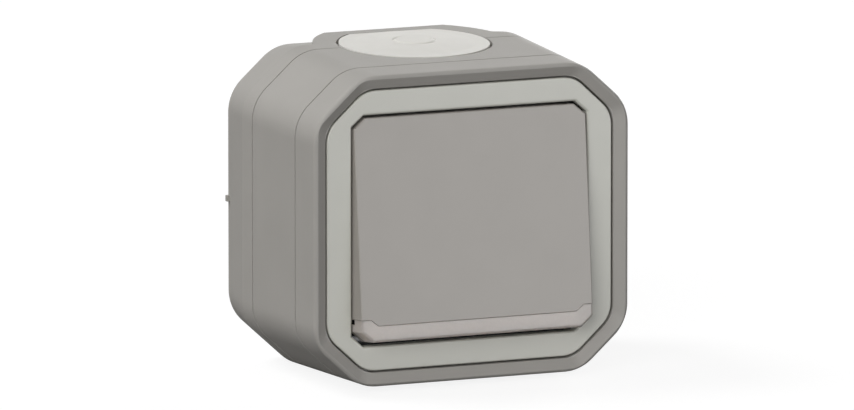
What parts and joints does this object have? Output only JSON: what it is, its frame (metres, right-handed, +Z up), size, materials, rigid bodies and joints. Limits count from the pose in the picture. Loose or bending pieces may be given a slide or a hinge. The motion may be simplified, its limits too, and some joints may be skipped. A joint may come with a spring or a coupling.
{
  "type": "surface-mounted rocker switch",
  "caption": "Grey splash-proof surface rocker switch in a chamfered octagonal housing, with a lighter frame, a tilted rocker with a clear lower strip and a cable grommet on top.",
  "frame": {"origin": "on the wall, at the middle of the base's closed rear face, half way up the housing", "axes": "+Y into the wall, +Z up, +X to the right of someone who faces the switch"},
  "size_m": [0.087, 0.0597, 0.0811],
  "materials": {
    "shell": "fine matt grey",
    "trim": "satin light grey",
    "lens": "clear",
    "grommet": "soft matt, off-white",
    "gasket": "matt",
    "plate": "zinc plated",
    "block": "matt white",
    "screw": "zinc plated",
    "brass": "plain"
  },
  "bodies": {
    "housing": {"rear_base": "shell", "mid_housing": "shell", "front_cover": "shell", "trim_frame": "trim", "top_grommet": "grommet", "base_gasket": "gasket", "cover_gasket": "gasket", "rocker_seal": "gasket", "support_plate": "plate", "switch_block": "block", "block_cover": "block", "fixed_contact_upper": "brass", "fixed_contact_lower": "brass", "common_terminal": "brass", "housing_screw_upper_left": "screw", "housing_screw_upper_right": "screw", "housing_screw_lower_left": "screw", "housing_screw_lower_right": "screw", "plate_screw_left": "screw", "plate_screw_right": "screw", "terminal_screw_upper": "screw", "terminal_screw_lower": "screw", "terminal_screw_common": "screw"},
    "rocker": {"rocker": "shell", "rocker_lens": "lens", "rocker_carrier": "block", "plunger": "plate", "plunger_spring": "screw"},
    "lever": {"contact_lever": "block", "moving_contact": "brass"}
  },
  "joints": [
    {"name": "rocker_tip", "type": "hinge", "parent": "housing", "child": "rocker", "pos_m": [0, -0.0479, 0], "axis": [1, 0, 0], "range_deg": [0, 11.2]},
    {"name": "lever_throw", "type": "hinge", "parent": "housing", "child": "lever", "pos_m": [0, -0.0339, 0], "axis": [1, 0, 0], "range_deg": [-20.25, 0]}
  ],
  "couplings": [
    {"joint": "lever_throw", "follows": "rocker_tip", "ratio": -1.8}
  ]
}
